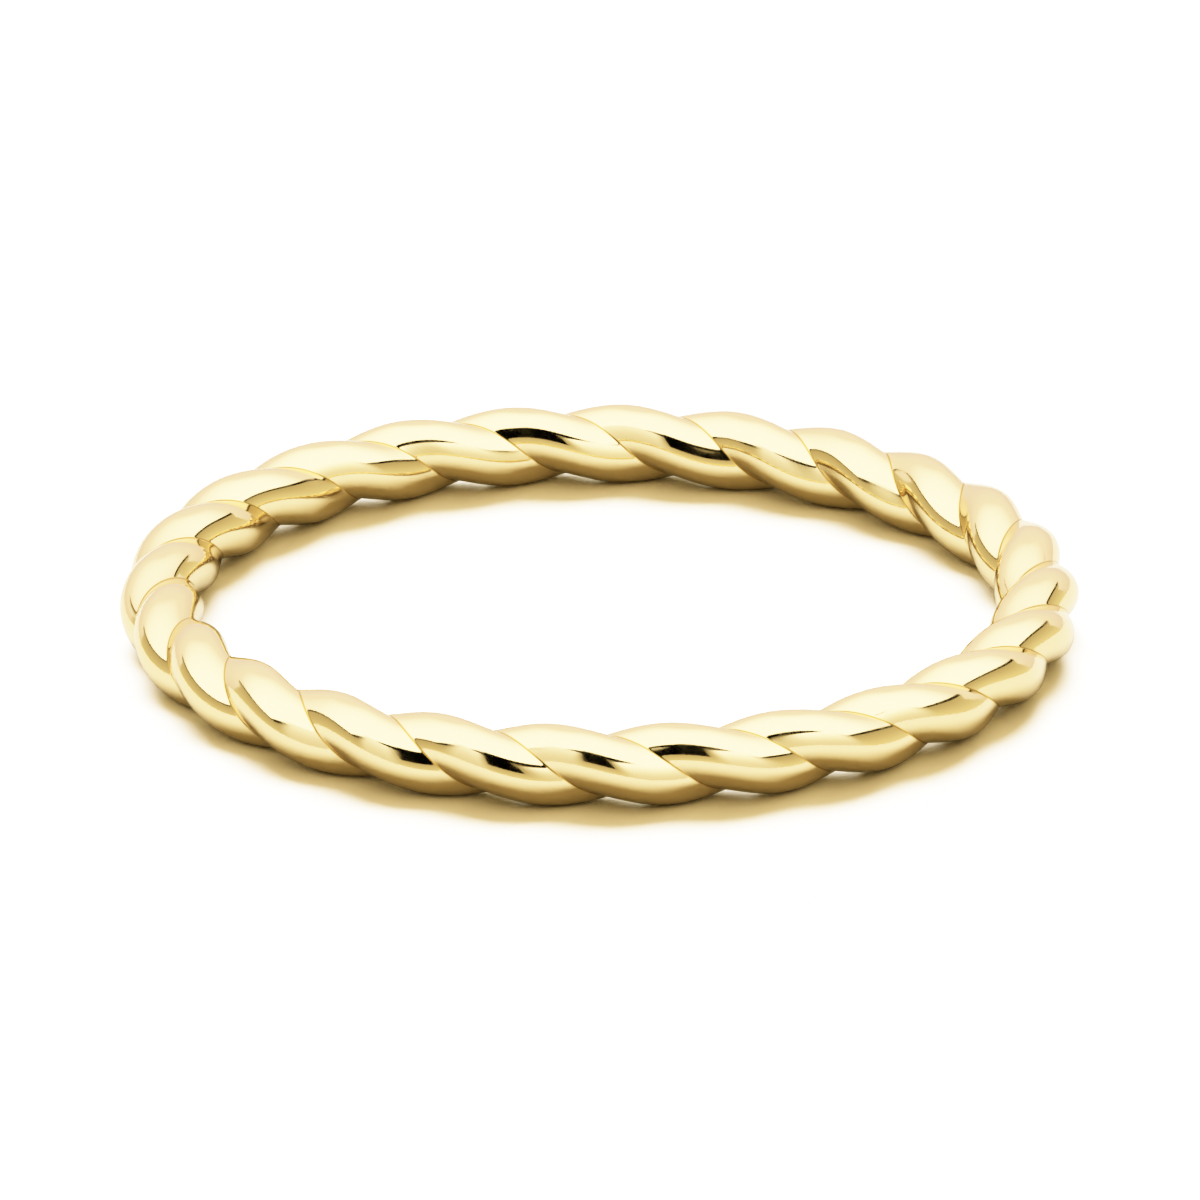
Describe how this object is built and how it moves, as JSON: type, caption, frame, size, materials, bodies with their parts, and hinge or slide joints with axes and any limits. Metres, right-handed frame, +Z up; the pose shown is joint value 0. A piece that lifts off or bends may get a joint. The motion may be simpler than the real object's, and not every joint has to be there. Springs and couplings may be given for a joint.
{
  "type": "twisted stacking ring",
  "caption": "Slim finger ring made as a closed band of two round strands twisted together, polished yellow gold, worn alone or in a stack.",
  "frame": {"origin": "the finger hole's axis, on the plane that the ring rests on", "axes": "+Z up along the finger hole's axis, +X through a crest that points outwards"},
  "size_m": [0.021, 0.021, 0.0017],
  "materials": {
    "polished_gold": "polished pale yellow gold plating"
  },
  "bodies": {
    "root": {"twisted_band": "polished_gold"}
  },
  "joints": []
}
